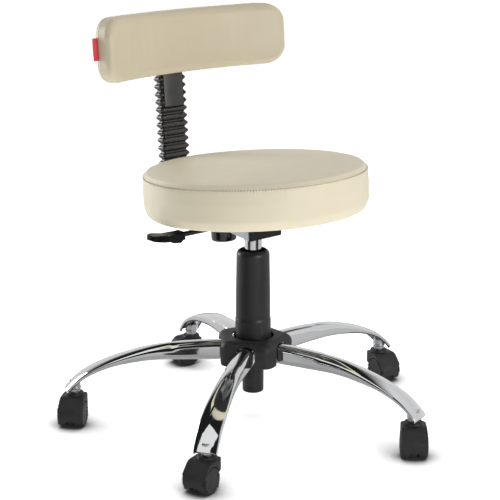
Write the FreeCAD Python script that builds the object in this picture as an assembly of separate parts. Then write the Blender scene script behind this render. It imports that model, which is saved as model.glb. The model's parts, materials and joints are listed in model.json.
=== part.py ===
import FreeCAD, Part
import math
import os
from FreeCAD import Vector

# Dentist stool: five-arm chrome base on twin-wheel casters, gas-lift column,
# round upholstered seat and a curved back pad on an L-shaped bar in a bellows.
# Millimetres, +Z up. The origin lies on the floor under the column's axis.
# The sitter faces -Y, and the lift lever is on the sitter's right, at -X.

# ---- driving dimensions -------------------------------------------------------------------------
ARM_COUNT = 5
ARM_STEP = 360.0 / ARM_COUNT
STEM_CIRCLE = 290.0          # radius of the circle through the caster stems

# Arm stations from hub to tip: distance from the axis, centre height, downward tilt, width, height.
ARM_STATIONS = (
    (24.0, 118.0, 0.0, 28.0, 32.0),
    (60.0, 118.0, 0.0, 28.0, 31.5),
    (100.0, 118.0, 1.0, 29.0, 29.5),
    (147.0, 116.8, 6.0, 30.5, 25.0),
    (185.0, 112.0, 11.0, 33.0, 19.5),
    (226.0, 103.0, 19.0, 36.0, 13.0),
    (257.0, 91.5, 28.0, 38.0, 10.0),
    (277.0, 80.5, 38.0, 38.0, 9.5),
    (293.0, 67.0, 47.0, 37.5, 9.0),
    (308.0, 50.0, 55.0, 37.0, 8.5),
)
ARM_WALL = 1.8
ARM_LIP = 3.2                # side lips left along the open underside of an arm's tip
ARM_CORNER = 10.0
ARM_TIP_Z = 53.8             # the tip is trimmed level, just above the caster
SOCKET_R = 9.5
SOCKET_Z = 52.6
STEM_R = 5.5
STEM_BOTTOM_Z = 36.0
STEM_TOP_Z = 64.0

HUB_CORNER_R = 67.0          # circle through the hub cover's five corners, which lie between the arms
HUB_CORNER_ROUND = 16.0
HUB_BOTTOM_Z = 101.0
HUB_TOP_Z = 141.5
HUB_EDGE = 13.0
HUB_WALL = 2.6
HUB_MOUTH_R = 33.5
HUB_SOCKET_R = 25.0
ARM_ARCH_HALF_WIDTH = 15.4
ARM_ARCH_TOP_Z = 135.2

COLUMN_TUBE_R = 19.0
COLUMN_TUBE_BORE = 15.5
COLUMN_TAIL_R = 17.3
COLUMN_TAIL_Z = 45.5
COLUMN_TOP_Z = 273.0
COVER_TOP_Z = 285.0
GAS_R = 14.0
GAS_BORE = 12.2
GAS_BOTTOM_Z = 70.0
GAS_TOP_Z = 323.0
ROD_R = 5.0
BEARING_Z = 54.0             # thrust bearing on the floor of the column tube
BEARING_TOP_Z = 60.0
PISTON_Z = 221.0
PIN_R = 4.0                  # release pin, and the studs of both clamp knobs
RUNNING_GAP = 0.05

CASTER_TRAIL = 17.0          # stem axis to axle
WHEEL_R = 20.0
WHEEL_INNER_Y = 5.4
WHEEL_OUTER_Y = 20.9
HOOD_HALF_WIDTH = 21.5
HOOD_R = 22.3
HOOD_CAVITY_R = 20.8
NECK_R = 15.0
NECK_TOP_Z = 51.3
SHOULDER_Z = 47.2            # flat top of the hood beside its neck
SHOULDER_HALF_WIDTH = 19.8
AXLE_R = 3.0
# Direction, from the stem, in which each caster trails at rest.
CASTER_HEADINGS = (260.0, 176.0, 221.0, 199.0, 229.0)

SEAT_TILT = 4.0              # the seat leans back by this angle
SEAT_PLANE_Z = 351.0         # underside of the seat board on the column's axis
SEAT_CENTRE_Y = -9.0
SEAT_R = 178.5
SEAT_HEIGHT = 72.0
BOARD_R = 157.0
BOARD_THICKNESS = 12.0
VINYL = 1.5

PLATE = 2.5                  # sheet of the under-seat mechanism
MECH_HALF_WIDTH = 33.0
MECH_FRONT_Y = -25.0
MECH_REAR_Y = 104.0
MECH_FRONT_DEPTH = 44.0
MECH_REAR_DEPTH = 20.0
SEAT_BOLTS_XY = ((-60.0, -42.0), (60.0, -42.0), (-60.0, 62.0), (60.0, 62.0))

LEVER_Z = 333.4
LEVER_ROD_R = 4.0
LEVER_TIP_X = -206.0
LEVER_COLLAR_X = -143.0
PIN_TOP_Z = LEVER_Z - LEVER_ROD_R - 0.1

KNOB_Y = 77.0
KNOB_R = 21.0

BAR_HALF_WIDTH = 19.0
BAR_THICKNESS = 5.0
BAR_DEPTH = 9.0              # bar centre below the underside of the seat board
BAR_FRONT_Y = 45.0
BAR_BEND_R = 28.0
BAR_TOP = 238.0
BACK_LEAN = 4.4              # lean of the upright part of the bar
BACK_PIVOT_Y = 203.0
BACK_PIVOT_Z = 405.0

FOLD_PITCH = 12.7
FOLD_COUNT = 13
BELLOWS_TOP = 135.0
FOLD_TIP = (27.0, 11.5, 5.0)     # half width, half depth and corner radius at a fold's tip
FOLD_ROOT = (22.5, 7.0, 3.0)
BELLOWS_BORE = (20.8, 5.2, 1.5)

PAD_BOTTOM = 139.5
PAD_TOP = 241.5
PAD_REAR = -11.0             # rear face of the pad on its centre line, measured from the bar's centre
PAD_THICKNESS = 38.0
PAD_CURVE_R = 380.0
PAD_HALF_CHORD = 182.0
PAD_CORNER = 30.0
PAD_SHELL = 10.0
TONGUE_BOTTOM = 83.0
TONGUE_HALF_WIDTH = 20.0
TONGUE_Y = (-10.2, -7.4)
CARRIER_SPAN = (152.0, 222.0)
HEIGHT_KNOB_LEVEL = 182.0


# ---- helpers ------------------------------------------------------------------------------------
def rounded_wire(corners, place):
    """Closed wire through (a, b, corner radius) points; place(a, b) gives each point in space."""
    edges = []
    starts = []
    ends = []
    middles = []
    count = len(corners)
    for i in range(count):
        before = corners[i - 1]
        here = corners[i]
        after = corners[(i + 1) % count]
        to_before = Vector(before[0] - here[0], before[1] - here[1], 0).normalize()
        to_after = Vector(after[0] - here[0], after[1] - here[1], 0).normalize()
        point = Vector(here[0], here[1], 0)
        radius = here[2]
        half_angle = to_before.getAngle(to_after) / 2
        reach = radius / math.tan(half_angle)
        starts.append(point + to_before * reach)
        ends.append(point + to_after * reach)
        if radius > 0:
            bisector = (to_before + to_after).normalize()
            centre = point + bisector * (radius / math.sin(half_angle))
            middles.append(centre - bisector * radius)
        else:
            middles.append(None)
    for i in range(count):
        if middles[i] is not None:
            arc_points = [place(p.x, p.y) for p in (starts[i], middles[i], ends[i])]
            edges.append(Part.Arc(*arc_points).toShape())
        line_start = ends[i]
        line_end = starts[(i + 1) % count]
        if line_start.distanceToPoint(line_end) > 1e-6:
            ends_placed = (place(line_start.x, line_start.y), place(line_end.x, line_end.y))
            edges.append(Part.makeLine(*ends_placed))
    return Part.Wire(edges)


def in_xz(a, b):
    return Vector(a, 0, b)


def turned(corners):
    """Solid of revolution about Z from an outline of (radius, z, corner radius)."""
    return Part.Face(rounded_wire(corners, in_xz)).revolve(Vector(0, 0, 0), Vector(0, 0, 1), 360)


def cylinder(radius, z_low, z_high, x=0.0, y=0.0):
    return Part.makeCylinder(radius, z_high - z_low, Vector(x, y, z_low))


def ring(outer, inner, z_low, z_high, x=0.0, y=0.0):
    return cylinder(outer, z_low, z_high, x, y).cut(cylinder(inner, z_low - 1, z_high + 1, x, y))


def box(x_low, x_high, y_low, y_high, z_low, z_high):
    return Part.makeBox(x_high - x_low, y_high - y_low, z_high - z_low, Vector(x_low, y_low, z_low))


def prism_x(corners, x_low, x_high):
    """Outline of (y, z, corner radius) extruded along X."""
    wire = rounded_wire(corners, lambda a, b: Vector(x_low, a, b))
    return Part.Face(wire).extrude(Vector(x_high - x_low, 0, 0))


def prism_y(corners, y_low, y_high):
    """Outline of (x, z, corner radius) extruded along Y."""
    wire = rounded_wire(corners, lambda a, b: Vector(a, y_low, b))
    return Part.Face(wire).extrude(Vector(0, y_high - y_low, 0))


def prism_z(corners, z_low, z_high):
    """Outline of (x, y, corner radius) extruded along Z."""
    wire = rounded_wire(corners, lambda a, b: Vector(a, b, z_low))
    return Part.Face(wire).extrude(Vector(0, 0, z_high - z_low))


def rounded_rectangle(half_a, half_b, radius):
    return ((-half_a, -half_b, radius), (half_a, -half_b, radius),
            (half_a, half_b, radius), (-half_a, half_b, radius))


def about_z(shape, degrees):
    return shape.copy().rotate(Vector(0, 0, 0), Vector(0, 0, 1), degrees)


def on_seat(shape):
    """From level seat coordinates (z = 0 at the board's underside) to the tilted seat."""
    placed = shape.copy().translate(Vector(0, 0, SEAT_PLANE_Z))
    return placed.rotate(Vector(0, 0, SEAT_PLANE_Z), Vector(1, 0, 0), -SEAT_TILT)


def on_back(shape):
    """From upright bar coordinates (bar's centre at x = y = 0) to the leaning back bar."""
    pivot = Vector(0, BACK_PIVOT_Y, BACK_PIVOT_Z)
    return shape.copy().translate(pivot).rotate(pivot, Vector(1, 0, 0), -BACK_LEAN)


def save(node, shape):
    if shape.ShapeType == "Compound" and len(shape.Solids) == 1:
        shape = shape.Solids[0]
    assert shape.isValid(), node
    shape.exportStep("parts/" + node + ".step")


# ---- base: arms and hub -------------------------------------------------------------------------
def arm_section(station, shrink):
    """Rounded rectangle square to the arm's centre line, smaller by shrink on every side."""
    width, depth = station[3:]
    corner = min(ARM_CORNER, depth / 2 - 0.6) - shrink
    corners = rounded_rectangle(width / 2 - shrink, depth / 2 - shrink, corner)
    return rounded_wire(corners, across_arm(station, 0.0))


def opening_section(station):
    """Cut-out below the arm's roof at one station, inside the rolled side lips."""
    width, depth = station[3:]
    drop = 8.0
    corners = rounded_rectangle(width / 2 - ARM_LIP, depth / 2 - ARM_WALL - 1.0 + drop, 1.0)
    return rounded_wire(corners, across_arm(station, drop))


def across_arm(station, drop):
    """Places (sideways, upward) points in the plane square to the arm, lowered by drop."""
    reach, height, tilt = station[:3]
    angle = math.radians(tilt)
    normal = Vector(math.sin(angle), 0, math.cos(angle))
    centre = Vector(reach, 0, height) - normal * drop
    return lambda a, b: centre + Vector(0, a, 0) + normal * b


def arm():
    """Drawn steel tube that flattens and curves down to its tip, where its underside is open."""
    outer = Part.makeLoft([arm_section(s, 0.0) for s in ARM_STATIONS], True, False)
    inner = Part.makeLoft([arm_section(s, ARM_WALL) for s in ARM_STATIONS], True, False)
    open_side = Part.makeLoft([opening_section(s) for s in ARM_STATIONS[-4:]], True, False)
    below_tip = box(250, 330, -40, 40, 0, ARM_TIP_Z)
    weld_face = cylinder(HUB_SOCKET_R, HUB_BOTTOM_Z - 10, HUB_TOP_Z + 10)
    return outer.cut(inner).cut(open_side).cut(below_tip).cut(weld_face)


def arm_socket(arm_shape):
    """Sleeve welded up into the arm's open tip; it takes the caster's stem."""
    sleeve = cylinder(SOCKET_R, SOCKET_Z, 110, STEM_CIRCLE).cut(arm_shape)
    sleeve = min(sleeve.Solids, key=lambda solid: solid.CenterOfMass.z)
    return sleeve.cut(cylinder(STEM_R, SOCKET_Z - 1, STEM_TOP_Z, STEM_CIRCLE))


def caster_stem():
    collar_low = NECK_TOP_Z + 0.3
    stem = cylinder(STEM_R, STEM_BOTTOM_Z, STEM_TOP_Z, STEM_CIRCLE)
    return stem.fuse(cylinder(8.5, collar_low, SOCKET_Z, STEM_CIRCLE)).removeSplitter()


def column_outline_solid():
    """Outside of the column's steel tube: straight above the hub, tapered in it, with a tail below."""
    return turned((
        (0, COLUMN_TAIL_Z, 0), (COLUMN_TAIL_R, COLUMN_TAIL_Z, 2.0), (COLUMN_TAIL_R + 0.3, HUB_BOTTOM_Z, 0),
        (COLUMN_TUBE_R, HUB_TOP_Z - 4, 0), (COLUMN_TUBE_R, COLUMN_TOP_Z, 0), (0, COLUMN_TOP_Z, 0)))


def hub_socket():
    body = cylinder(HUB_SOCKET_R, HUB_BOTTOM_Z + 1.5, HUB_TOP_Z - 6)
    return body.cut(column_outline_solid())


def hub_form(inset):
    """Five-sided prism with rounded corners and top edge, smaller by inset all over."""
    reach = HUB_CORNER_R - inset / math.cos(math.pi / ARM_COUNT)
    corners = []
    for i in range(ARM_COUNT):
        angle = math.radians((i + 0.5) * ARM_STEP)
        corners.append((reach * math.cos(angle), reach * math.sin(angle), HUB_CORNER_ROUND - inset))
    form = prism_z(corners, HUB_BOTTOM_Z - inset, HUB_TOP_Z - inset)
    top_edges = [e for e in form.Edges if e.BoundBox.ZMin > HUB_TOP_Z - inset - 0.01]
    return form.makeFillet(HUB_EDGE - inset, top_edges)


def hub_cover():
    shell = hub_form(0.0).cut(hub_form(HUB_WALL))
    shell = shell.cut(cylinder(HUB_MOUTH_R, HUB_TOP_Z - 20, HUB_TOP_Z + 10))
    half = ARM_ARCH_HALF_WIDTH
    arch = prism_x(((-half, HUB_BOTTOM_Z - 5, 0), (half, HUB_BOTTOM_Z - 5, 0),
                    (half, ARM_ARCH_TOP_Z, half - 4), (-half, ARM_ARCH_TOP_Z, half - 4)), 25, 70)
    arm_top = ARM_STATIONS[0][1] + ARM_STATIONS[0][4] / 2
    rib = box(38, 42, -4, 4, arm_top + 1.3, HUB_TOP_Z - HUB_WALL + 0.5)
    for i in range(ARM_COUNT):
        shell = shell.cut(about_z(arch, i * ARM_STEP)).fuse(about_z(rib, i * ARM_STEP))
    return shell.removeSplitter()


# ---- base: column -------------------------------------------------------------------------------
def column_tube():
    floor_low = BEARING_Z - 3
    tube = column_outline_solid().cut(cylinder(COLUMN_TUBE_BORE, BEARING_Z, COLUMN_TOP_Z + 1))
    tube = tube.cut(cylinder(COLUMN_TUBE_BORE, COLUMN_TAIL_Z - 1, floor_low))
    return tube.cut(cylinder(ROD_R + 0.3, floor_low - 1, BEARING_Z + 1))


def column_cover():
    """Plastic sleeve round the column, stepped wider towards the hub, with a rounded shoulder."""
    outer = turned((
        (0, 137.5, 0), (28.9, 137.5, 0), (28.7, 169.0, 1.0), (27.9, 173.0, 1.0),
        (27.6, 216.0, 20.0), (26.3, COVER_TOP_Z, 8.5), (0, COVER_TOP_Z, 0)))
    inner = turned(((0, 135, 0), (26.4, 135, 0), (26.2, 215.0, 0), (24.2, 279.0, 6.0), (0, 279.0, 0)))
    mouth = cylinder(20.8, 270, 290)
    locating_ring = ring(26.3, COLUMN_TUBE_R, 258, 262)
    return outer.cut(inner).cut(mouth).fuse(locating_ring.common(outer)).removeSplitter()


def guide_bush():
    bush = ring(COLUMN_TUBE_BORE, GAS_R + RUNNING_GAP, 191, COLUMN_TOP_Z)
    flange = ring(COLUMN_TUBE_R - 0.4, GAS_R + RUNNING_GAP, COLUMN_TOP_Z, COLUMN_TOP_Z + 3.5)
    return bush.fuse(flange).removeSplitter()


def thrust_bearing():
    return ring(13.0, ROD_R + 0.3, BEARING_Z, BEARING_TOP_Z)


# ---- gas spring ---------------------------------------------------------------------------------
def piston_rod():
    rod = cylinder(ROD_R, 47.0, PISTON_Z + 12)
    return rod.fuse(cylinder(11.0, BEARING_TOP_Z + 0.05, 64.0)).removeSplitter()


def piston():
    return ring(GAS_BORE - RUNNING_GAP, ROD_R, PISTON_Z, PISTON_Z + 10)


def column_clip():
    return ring(9.0, ROD_R, BEARING_Z - 5, BEARING_Z - 3.2)


def gas_cylinder():
    body = turned(((0, GAS_BOTTOM_Z, 0), (GAS_R, GAS_BOTTOM_Z, 1.0), (GAS_R, 311, 0),
                   (13.4, GAS_TOP_Z, 1.0), (0, GAS_TOP_Z, 0)))
    body = body.cut(cylinder(GAS_BORE, GAS_BOTTOM_Z - 1, 307))
    return body.cut(cylinder(PIN_R + RUNNING_GAP, 311, GAS_TOP_Z + 1))


def cylinder_seal():
    return ring(GAS_BORE, ROD_R + RUNNING_GAP, GAS_BOTTOM_Z + 2, GAS_BOTTOM_Z + 22)


def release_pin():
    return cylinder(PIN_R, 314, PIN_TOP_Z)


# ---- under-seat mechanism -----------------------------------------------------------------------
def cone_socket():
    return cylinder(20.0, 310.5, 326.5).cut(gas_cylinder()).cut(cylinder(13.3, 305, 330))


def mechanism_body():
    """Inverted steel channel with a slanted floor and side flanges bolted under the seat board."""
    slope = (MECH_FRONT_DEPTH - MECH_REAR_DEPTH) / (MECH_REAR_Y - MECH_FRONT_Y)
    reach = 10.0
    outer = prism_x(((MECH_FRONT_Y, 0, 0), (MECH_REAR_Y, 0, 0), (MECH_REAR_Y, -MECH_REAR_DEPTH, 0),
                     (MECH_FRONT_Y, -MECH_FRONT_DEPTH, 0)), -MECH_HALF_WIDTH, MECH_HALF_WIDTH)
    front_floor = -MECH_FRONT_DEPTH + PLATE - slope * reach
    rear_floor = -MECH_REAR_DEPTH + PLATE + slope * reach
    inner = prism_x(((MECH_FRONT_Y - reach, -PLATE, 0), (MECH_REAR_Y + reach, -PLATE, 0),
                     (MECH_REAR_Y + reach, rear_floor, 0), (MECH_FRONT_Y - reach, front_floor, 0)),
                    -MECH_HALF_WIDTH + PLATE, MECH_HALF_WIDTH - PLATE)
    flanges = prism_z(((-72, -54, 12), (72, -54, 12), (72, 74, 12), (-72, 74, 12)), -PLATE, 0)
    body = outer.fuse(flanges).cut(inner)
    for x, y in SEAT_BOLTS_XY:
        body = body.cut(cylinder(4.3, -PLATE - 1, 1, x, y))
    body = body.cut(cylinder(4.5, -45, -15, 0, KNOB_Y))
    lever_hole = Part.makeCylinder(LEVER_ROD_R + 1.0, 20, Vector(-45, 0, LEVER_Z), Vector(1, 0, 0))
    placed = on_seat(body.removeSplitter()).cut(lever_hole)
    return placed.cut(cylinder(20.0, 295, 335))


def mechanism_cap():
    half = MECH_HALF_WIDTH
    low = -MECH_FRONT_DEPTH - 0.5
    cap = prism_y(((-half, low, 2.5), (half, low, 2.5), (half, -PLATE, 1.0), (-half, -PLATE, 1.0)),
                  -28.5, MECH_FRONT_Y)
    plug = box(-29, 29, MECH_FRONT_Y, MECH_FRONT_Y + 4, -MECH_FRONT_DEPTH + 4, -PLATE - 1)
    return on_seat(cap.fuse(plug).removeSplitter())


def bar_bracket():
    """Guide for the back bar, with a threaded boss for the clamp knob."""
    block = box(-25, 25, 60, 100, -17, -PLATE)
    slot = box(-BAR_HALF_WIDTH - 0.2, BAR_HALF_WIDTH + 0.2, 50, 110,
               -BAR_DEPTH - BAR_THICKNESS / 2 - 0.2, -BAR_DEPTH + BAR_THICKNESS / 2 + 0.2)
    boss = cylinder(9.0, -19.8, -17, 0, KNOB_Y)
    hole = cylinder(PIN_R + RUNNING_GAP, -22, -10, 0, KNOB_Y)
    return on_seat(block.fuse(boss).cut(slot).cut(hole).removeSplitter())


def depth_knob():
    """Round clamp knob with its moulded-in stud, reaching up to the bar."""
    knob = turned(((0, -61, 0), (KNOB_R - 0.5, -61, 3.5), (KNOB_R, -36, 3.0), (0, -36, 0)))
    neck = cylinder(9.0, -36.5, -27.5)
    stud = cylinder(PIN_R, -28, -BAR_DEPTH - BAR_THICKNESS / 2 - 0.1)
    return on_seat(knob.fuse(neck).fuse(stud).removeSplitter().translate(Vector(0, KNOB_Y, 0)))


# ---- lever --------------------------------------------------------------------------------------
def lever_rod():
    return Part.makeCylinder(LEVER_ROD_R, 12 + 160, Vector(-160, 0, LEVER_Z), Vector(1, 0, 0))


def lever_handle():
    """Flat paddle with finger bumps under its collar."""
    side = prism_y((
        (LEVER_COLLAR_X, 327.0, 2), (LEVER_COLLAR_X, 340.0, 2), (-150, 339.0, 6), (-176, 339.0, 20),
        (-194, 342.5, 20), (LEVER_TIP_X, 342.0, 3.4), (LEVER_TIP_X, 334.5, 3.4), (-186, 330.5, 20),
        (-173, 329.0, 3), (-168, 326.0, 3), (-152, 323.5, 3), (-148, 327.0, 1)), -20, 20)
    plan = prism_z(((LEVER_COLLAR_X + 1, -9, 3), (LEVER_COLLAR_X + 1, 9, 3), (-152, 10, 10),
                    (-178, 13, 20), (LEVER_TIP_X, 12, 10), (LEVER_TIP_X, -12, 10),
                    (-178, -13, 20), (-152, -10, 10)), 315, 355)
    return side.common(plan).cut(lever_rod())


# ---- seat ---------------------------------------------------------------------------------------
def seat_form(inset):
    return turned((
        (0, -VINYL + inset, 0), (169.5 - inset, -VINYL + inset, 9.0), (176.5 - inset, 15.0, 15.0),
        (SEAT_R - inset, 40.0, 40.0), (176.5 - inset, SEAT_HEIGHT - 9.0, 6.0),
        (165.0 - inset, SEAT_HEIGHT - 3.0 - inset, 12.0), (130.0, SEAT_HEIGHT - inset, 0),
        (0, SEAT_HEIGHT - inset, 0))).translate(Vector(0, SEAT_CENTRE_Y, 0))


def seat_cover():
    wrapped = seat_form(0.0).cut(seat_form(VINYL))
    return on_seat(wrapped.cut(cylinder(150.0, -5, 1, 0, SEAT_CENTRE_Y)))


def seat_board_blank():
    return cylinder(BOARD_R, 0, BOARD_THICKNESS, 0, SEAT_CENTRE_Y)


def seat_foam():
    return on_seat(seat_form(VINYL).cut(seat_board_blank()))


def seat_board():
    board = seat_board_blank()
    for x, y in SEAT_BOLTS_XY:
        board = board.cut(cylinder(5.5, -1, BOARD_THICKNESS + 1, x, y))
    return on_seat(board)


def seat_tnuts():
    nuts = [ring(5.5, 4.0, 0, BOARD_THICKNESS, x, y) for x, y in SEAT_BOLTS_XY]
    return on_seat(Part.makeCompound(nuts))


def seat_bolts():
    bolts = []
    for x, y in SEAT_BOLTS_XY:
        head = cylinder(7.0, -PLATE - 5, -PLATE, x, y)
        bolts.append(head.fuse(cylinder(4.0, -PLATE - 1, BOARD_THICKNESS - 1, x, y)).removeSplitter())
    return on_seat(Part.makeCompound(bolts))


# ---- back bar and bellows -----------------------------------------------------------------------
def back_bar():
    """Flat steel strip bent once: level under the seat, then upright behind it."""
    tilt = math.radians(SEAT_TILT)
    lean = math.radians(BACK_LEAN)
    along = Vector(0, math.cos(tilt), -math.sin(tilt))
    upward = Vector(0, math.sin(lean), math.cos(lean))
    seat_normal = Vector(0, math.sin(tilt), math.cos(tilt))
    start = Vector(0, 0, SEAT_PLANE_Z) + along * BAR_FRONT_Y - seat_normal * BAR_DEPTH
    pivot = Vector(0, BACK_PIVOT_Y, BACK_PIVOT_Z)
    # The corner is where the level run, prolonged, meets the upright run.
    gap = pivot - start
    determinant = along.y * -upward.z + along.z * upward.y
    run = (gap.y * -upward.z + gap.z * upward.y) / determinant
    corner = start + along * run
    top = pivot + upward * BAR_TOP
    half = BAR_THICKNESS / 2
    inner_side = Vector(0, -along.z, along.y)
    upright_side = Vector(0, -upward.z, upward.y)
    turn = math.pi / 2 - (lean - tilt)
    miter = half / math.cos(turn / 2)
    diagonal = (upward - along).normalize()
    points = (
        (start - inner_side * half, 0.0), (corner - diagonal * miter, BAR_BEND_R + half),
        (top - upright_side * half, 0.0), (top + upright_side * half, 0.0),
        (corner + diagonal * miter, BAR_BEND_R - half), (start + inner_side * half, 0.0))
    return prism_x([(p.y, p.z, radius) for p, radius in points], -BAR_HALF_WIDTH, BAR_HALF_WIDTH)


def bellows_section(size, level):
    half_width, half_depth, corner = size
    outline = rounded_rectangle(half_width, half_depth, corner)
    return rounded_wire(outline, lambda a, b: Vector(a, b, level))


def bellows():
    """Rubber concertina sleeve; its folds are left off in front of the back pad's tongue."""
    bottom = BELLOWS_TOP - FOLD_COUNT * FOLD_PITCH
    sections = []
    for i in range(FOLD_COUNT):
        sections.append(bellows_section(FOLD_ROOT, bottom + i * FOLD_PITCH))
        sections.append(bellows_section(FOLD_TIP, bottom + (i + 0.5) * FOLD_PITCH))
    sections.append(bellows_section(FOLD_ROOT, BELLOWS_TOP))
    sleeve = Part.makeLoft(sections, True, True)
    half_width, half_depth, corner = BELLOWS_BORE
    bore = prism_z(rounded_rectangle(half_width, half_depth, corner), bottom - 1, BELLOWS_TOP + 1)
    reach = TONGUE_HALF_WIDTH + 0.6
    tongue_room = box(-reach, reach, -20, TONGUE_Y[1] + 0.4, TONGUE_BOTTOM - 0.6, 200)
    return on_back(sleeve.cut(bore).cut(tongue_room))


# ---- back pad -----------------------------------------------------------------------------------
def pad_slab(front, rear, inset):
    """Curved slab between two depths behind the pad's front face, with rounded corners."""
    centre_y = PAD_REAR - PAD_THICKNESS / 2 - PAD_CURVE_R
    outer_r = PAD_CURVE_R + PAD_THICKNESS / 2 - (PAD_THICKNESS - rear)
    inner_r = PAD_CURVE_R - PAD_THICKNESS / 2 + front
    slab = ring(outer_r, inner_r, PAD_BOTTOM, PAD_TOP, 0, centre_y)
    middle = (PAD_BOTTOM + PAD_TOP) / 2
    half_height = (PAD_TOP - PAD_BOTTOM) / 2 - inset
    outline = [(x, z + middle, r) for x, z, r in
               rounded_rectangle(PAD_HALF_CHORD - inset, half_height, PAD_CORNER - inset)]
    return slab.common(prism_y(outline, -150, 50))


def backrest_tongue():
    return box(-TONGUE_HALF_WIDTH, TONGUE_HALF_WIDTH, TONGUE_Y[0], TONGUE_Y[1], TONGUE_BOTTOM, 215)


def backrest_bolts():
    bolts = []
    for x in (-29.0, 29.0):
        for z in (162.0, 212.0):
            shank = Part.makeCylinder(2.5, 19, Vector(x, -1, z), Vector(0, -1, 0))
            head = Part.makeCylinder(5.0, 3.5, Vector(x, 0.1, z), Vector(0, -1, 0))
            bolts.append(head.fuse(shank).removeSplitter())
    return Part.makeCompound(bolts)


def backrest_cover():
    skin = pad_slab(0, PAD_THICKNESS, 0).cut(pad_slab(VINYL, PAD_THICKNESS - VINYL, VINYL))
    return skin.cut(backrest_bolts())


def backrest_shell():
    shell = pad_slab(PAD_THICKNESS - VINYL - PAD_SHELL, PAD_THICKNESS - VINYL, VINYL)
    return shell.cut(backrest_bolts())


def backrest_foam():
    return pad_slab(VINYL, PAD_THICKNESS - VINYL - PAD_SHELL, VINYL).cut(backrest_bolts())


def backrest_carrier():
    """Housing behind the pad that slides on the bar."""
    low, high = CARRIER_SPAN
    front = PAD_REAR + 0.1
    flange = prism_y(((-36, low, 5), (36, low, 5), (36, high, 5), (-36, high, 5)), front, -3.4)
    block = prism_y(((-24, low, 4), (24, low, 4), (24, high, 4), (-24, high, 4)), front, 11.0)
    slot = box(-BAR_HALF_WIDTH - 0.2, BAR_HALF_WIDTH + 0.2, -2.7, 2.7, low - 1, high + 20)
    stud_hole = Part.makeCylinder(PIN_R + RUNNING_GAP, 20, Vector(0, 0, HEIGHT_KNOB_LEVEL), Vector(0, 1, 0))
    housing = flange.fuse(block).cut(slot).cut(stud_hole)
    return housing.cut(backrest_tongue()).cut(backrest_bolts()).removeSplitter()


def height_knob():
    """Round clamp knob behind the pad with its moulded-in stud."""
    knob = turned(((0, 13.5, 0), (21.0, 13.5, 3.0), (20.0, 32.0, 4.0), (0, 32.0, 0)))
    knob = knob.fuse(cylinder(PIN_R, 2.8, 14.0)).removeSplitter()
    knob.rotate(Vector(0, 0, 0), Vector(1, 0, 0), -90)
    return knob.translate(Vector(0, 0, HEIGHT_KNOB_LEVEL))


# ---- casters ------------------------------------------------------------------------------------
def along_axle(shape):
    """Turns a solid about Z into one about the caster's axle, which lies along Y."""
    turned_over = shape.copy().rotate(Vector(0, 0, 0), Vector(1, 0, 0), -90)
    return turned_over.translate(Vector(CASTER_TRAIL, 0, WHEEL_R))


def caster_hood():
    """Hood over both wheels with the neck that turns on the stem."""
    half = HOOD_HALF_WIDTH
    barrel = turned(((0, -half, 0), (HOOD_R - 1.2, -half, 1.0), (HOOD_R, 0, 40),
                     (HOOD_R - 1.2, half, 1.0), (0, half, 0)))
    web = 2 * (WHEEL_INNER_Y - 0.4)
    cavity = cylinder(HOOD_CAVITY_R, -half - 1, half + 1).cut(cylinder(40, -web / 2, web / 2))
    neck = turned(((0, 27, 0), (NECK_R, 27, 0), (NECK_R, SHOULDER_Z + 0.8, 0),
                   (NECK_R - 0.8, SHOULDER_Z + 1.4, 0), (NECK_R - 0.8, NECK_TOP_Z, 1.0), (0, NECK_TOP_Z, 0)))
    wide = SHOULDER_HALF_WIDTH
    block = prism_y(((-14.5, 30, 0), (-14.5, SHOULDER_Z, 4.0), (23, SHOULDER_Z, 17.0),
                     (37.5, 29, 0), (17, 24, 0)), -wide, wide)
    plan = prism_z(((-14.5, -wide, 11), (45, -wide, 6), (45, wide, 6), (-14.5, wide, 11)), 20, 60)
    shoulder = block.common(plan)
    hood = along_axle(barrel).fuse(neck).fuse(shoulder).cut(along_axle(cavity))
    hood = hood.cut(box(-20, 60, -30, 30, -10, 4.0))
    notch_x = CASTER_TRAIL + HOOD_R
    hood = hood.cut(box(notch_x - 8, notch_x + 5, -7, 7, 0, 11.5))
    hood = hood.cut(cylinder(STEM_R + RUNNING_GAP, STEM_BOTTOM_Z - 1, 60))
    hood = hood.cut(along_axle(cylinder(AXLE_R, -40, 40)))
    return hood.removeSplitter()


def caster_axle():
    return along_axle(cylinder(AXLE_R, -14, 14))


def caster_wheel(side):
    """Nylon wheel with a rounded tread edge and a blind bore; side is +1 or -1."""
    wheel = turned(((0, WHEEL_INNER_Y, 0), (WHEEL_R, WHEEL_INNER_Y, 1.0), (WHEEL_R, WHEEL_OUTER_Y, 3.0),
                    (16.5, WHEEL_OUTER_Y, 0), (15.5, WHEEL_OUTER_Y - 0.8, 0), (0, WHEEL_OUTER_Y - 0.8, 0)))
    wheel = wheel.cut(cylinder(AXLE_R + RUNNING_GAP, 0, 14.5))
    if side < 0:
        wheel = wheel.mirror(Vector(0, 0, 0), Vector(0, 0, 1))
    return along_axle(wheel)


def at_caster(shape, index):
    heading = about_z(shape, CASTER_HEADINGS[index])
    angle = math.radians(index * ARM_STEP)
    return heading.translate(Vector(STEM_CIRCLE * math.cos(angle), STEM_CIRCLE * math.sin(angle), 0))


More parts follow.
